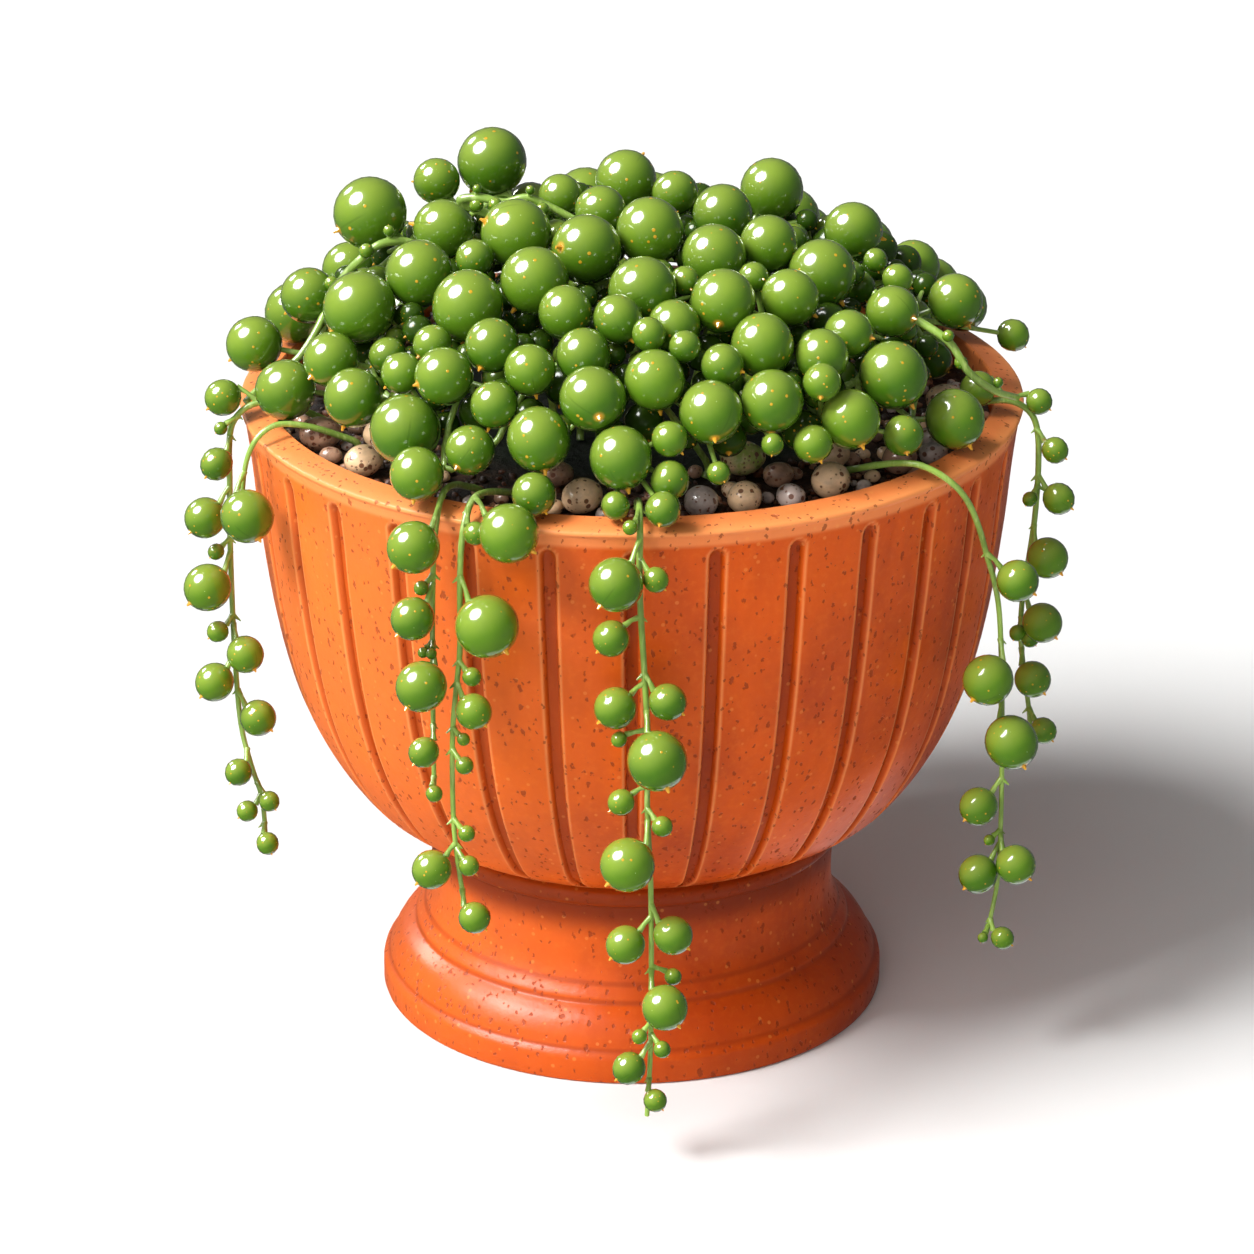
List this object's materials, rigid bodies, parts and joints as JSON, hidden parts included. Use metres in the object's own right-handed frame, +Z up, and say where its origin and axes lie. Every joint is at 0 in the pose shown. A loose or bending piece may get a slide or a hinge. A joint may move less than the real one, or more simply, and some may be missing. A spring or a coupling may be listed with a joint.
{
  "type": "potted string of pearls",
  "caption": "Trailing succulent with round bead-like leaves, growing from soil and pebbles in a fluted, footed terracotta bowl.",
  "frame": {"origin": "centre of the flat underside of the pot's foot, on the surface that the pot stands on", "axes": "+Z up through the pot's axis, -Y towards the front with the longest trailing stem, +X to the right seen from the front"},
  "size_m": [0.1347, 0.1433, 0.1344],
  "materials": {
    "terracotta": "glossy speckled orange terracotta with fine dark flecks",
    "soil": "dark brown granular potting soil",
    "pearl_green": "smooth waxy succulent leaves and stems, strong soft highlights",
    "pebble_tan": "polished tan pebble with brown speckles",
    "pebble_grey": "polished grey-brown pebble with dark speckles",
    "pebble_rust": "polished rust-brown pebble with dark speckles"
  },
  "bodies": {
    "root": {"mound_stem_1_01": "pearl_green", "mound_stem_1_02": "pearl_green", "mound_stem_1_03": "pearl_green", "mound_stem_1_04": "pearl_green", "mound_stem_1_05": "pearl_green", "mound_stem_2_01": "pearl_green", "mound_stem_2_02": "pearl_green", "mound_stem_2_03": "pearl_green", "mound_stem_2_04": "pearl_green", "mound_stem_2_05": "pearl_green", "mound_stem_2_06": "pearl_green", "mound_stem_2_07": "pearl_green", "mound_stem_2_08": "pearl_green", "mound_stem_3_01": "pearl_green", "mound_stem_3_02": "pearl_green", "mound_stem_3_03": "pearl_green", "mound_stem_3_04": "pearl_green", "mound_stem_3_05": "pearl_green", "mound_stem_3_06": "pearl_green", "mound_stem_3_07": "pearl_green", "mound_stem_3_08": "pearl_green", "mound_stem_3_09": "pearl_green", "mound_stem_3_10": "pearl_green", "pebble_01": "pebble_grey", "pebble_02": "pebble_rust", "pebble_03": "pebble_tan", "pebble_04": "pebble_grey", "pebble_05": "pebble_rust", "pebble_06": "pebble_tan", "pebble_07": "pebble_grey", "pebble_08": "pebble_rust", "pebble_09": "pebble_tan", "pebble_10": "pebble_grey", "pebble_11": "pebble_rust", "pebble_12": "pebble_tan", "pebble_13": "pebble_grey", "pebble_14": "pebble_rust", "pebble_15": "pebble_tan", "pebble_16": "pebble_grey", "pebble_17": "pebble_rust", "pebble_18": "pebble_tan", "pebble_19": "pebble_grey", "pebble_20": "pebble_rust", "pebble_21": "pebble_tan", "pebble_22": "pebble_grey", "pebble_23": "pebble_rust", "pot": "terracotta", "soil": "soil", "strand_back_centre": "pearl_green", "strand_back_left": "pearl_green", "strand_back_right": "pearl_green", "strand_front_centre": "pearl_green", "strand_front_left": "pearl_green", "strand_front_left_long": "pearl_green", "strand_left_inner": "pearl_green", "strand_left_outer": "pearl_green", "strand_right_inner": "pearl_green", "strand_right_outer": "pearl_green"}
  },
  "joints": []
}
